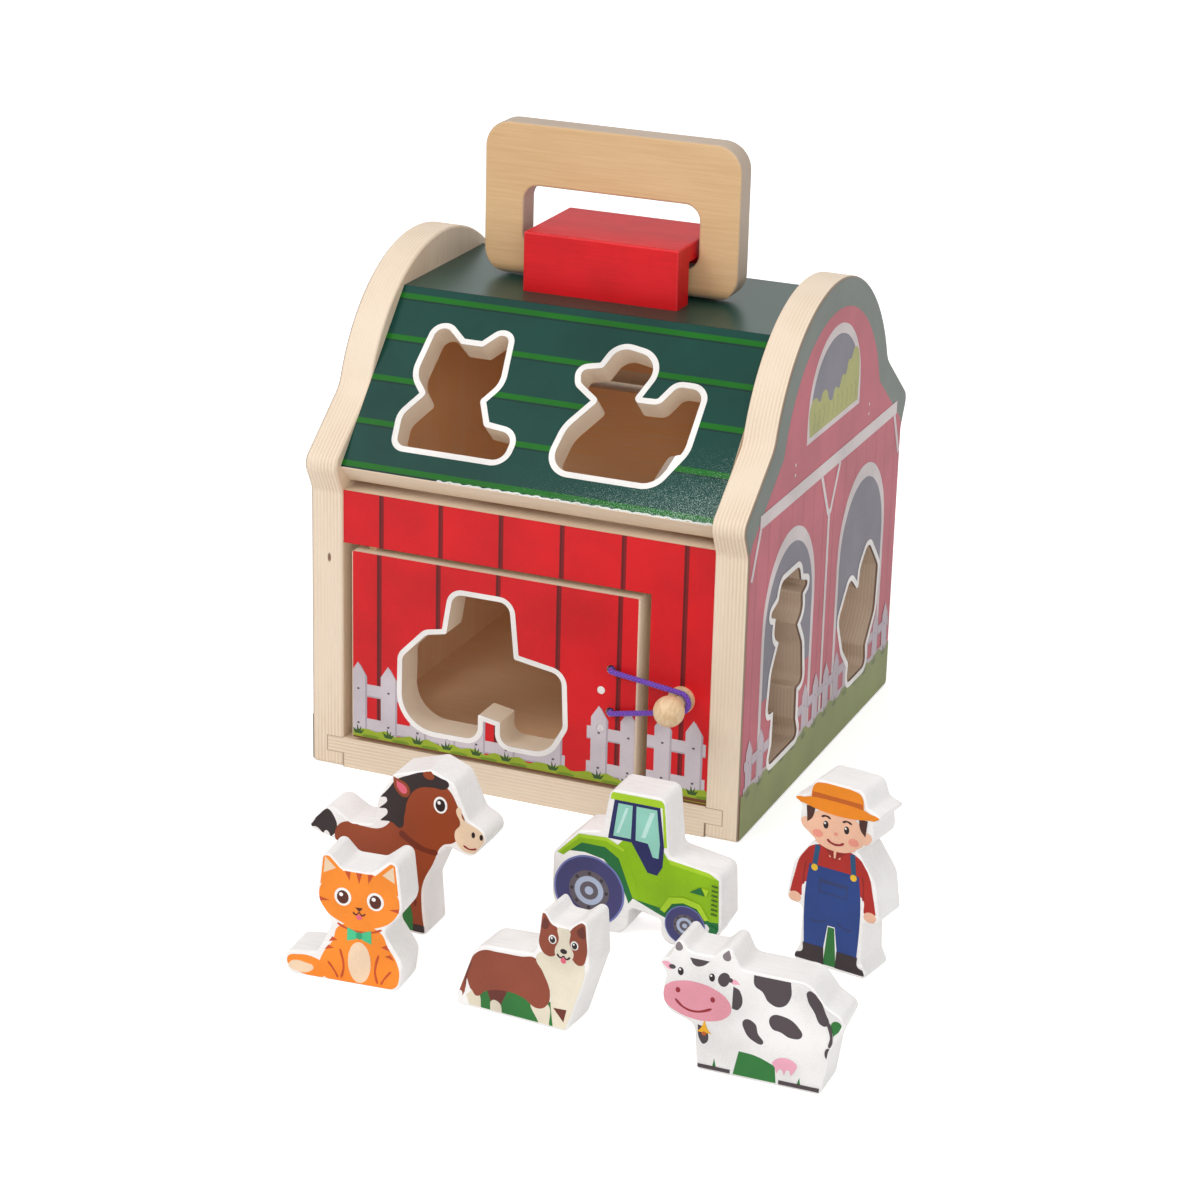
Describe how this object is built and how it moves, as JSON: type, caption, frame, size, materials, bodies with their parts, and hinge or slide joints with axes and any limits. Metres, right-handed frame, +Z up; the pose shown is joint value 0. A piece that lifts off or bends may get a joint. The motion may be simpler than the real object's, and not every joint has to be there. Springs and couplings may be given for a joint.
{
  "type": "toy farmhouse",
  "caption": "Wooden toy barn with a hinged front door on an elastic latch, a swinging carry handle, shape cut-outs in the walls and roof, and flat farm figures that fit through them.",
  "frame": {"origin": "centre of the barn's base, on the surface that it stands on", "axes": "+Z up, -Y out of the front with the door, +X to the right seen from the front"},
  "size_m": [0.3093, 0.3944, 0.2732],
  "materials": {
    "printed_plywood": "birch plywood, printed outer face, clear satin edges",
    "bare_plywood": "bare birch plywood, clear satin lacquer",
    "red_board": "plywood with a satin red printed face",
    "green_board": "plywood with a glossy dark green printed face",
    "handle_plywood": "birch plywood, clear satin lacquer",
    "red_paint": "hardwood with satin red paint, grain showing through",
    "hardwood": "turned beech, clear satin lacquer",
    "zinc_steel": "bright zinc plate",
    "purple_elastic": "braided purple cover over rubber",
    "figure_board": "board painted white, printed faces"
  },
  "bodies": {
    "barn": {"left_gable": "printed_plywood", "right_gable": "printed_plywood", "floor_board": "bare_plywood", "front_frame": "red_board", "back_wall": "red_board", "door_pin_top": "hardwood", "door_pin_bottom": "hardwood", "latch_knob": "hardwood", "roof_front": "green_board", "roof_top": "green_board", "roof_back": "green_board", "handle_block": "red_paint", "block_screws": "zinc_steel", "wall_dowels": "hardwood", "roof_dowels": "hardwood"},
    "door": {"front_door": "red_board", "door_plugs": "hardwood", "latch_elastic": "purple_elastic"},
    "handle": {"carry_handle": "handle_plywood"},
    "horse": {"figure_horse": "figure_board"},
    "cat": {"figure_cat": "figure_board"},
    "dog": {"figure_dog": "figure_board"},
    "tractor": {"figure_tractor": "figure_board"},
    "cow": {"figure_cow": "figure_board"},
    "farmer": {"figure_farmer": "figure_board"}
  },
  "joints": [
    {"name": "door_hinge", "type": "hinge", "parent": "barn", "child": "door", "pos_m": [-0.0729, -0.0935, 0.059], "axis": [0, 0, -1], "range_deg": [0, 110], "deforming": ["latch_elastic"]},
    {"name": "handle_swing", "type": "hinge", "parent": "barn", "child": "handle", "pos_m": [0, 0, 0.2107], "axis": [1, 0, 0], "range_deg": [-90, 90]},
    {"name": "horse_lift", "type": "slide", "parent": "barn", "child": "horse", "axis": [0, 0, 1], "range_m": [0, 0.08]},
    {"name": "cat_lift", "type": "slide", "parent": "barn", "child": "cat", "axis": [0, 0, 1], "range_m": [0, 0.08]},
    {"name": "dog_lift", "type": "slide", "parent": "barn", "child": "dog", "axis": [0, 0, 1], "range_m": [0, 0.08]},
    {"name": "tractor_lift", "type": "slide", "parent": "barn", "child": "tractor", "axis": [0, 0, 1], "range_m": [0, 0.08]},
    {"name": "cow_lift", "type": "slide", "parent": "barn", "child": "cow", "axis": [0, 0, 1], "range_m": [0, 0.08]},
    {"name": "farmer_lift", "type": "slide", "parent": "barn", "child": "farmer", "axis": [0, 0, 1], "range_m": [0, 0.08]}
  ]
}
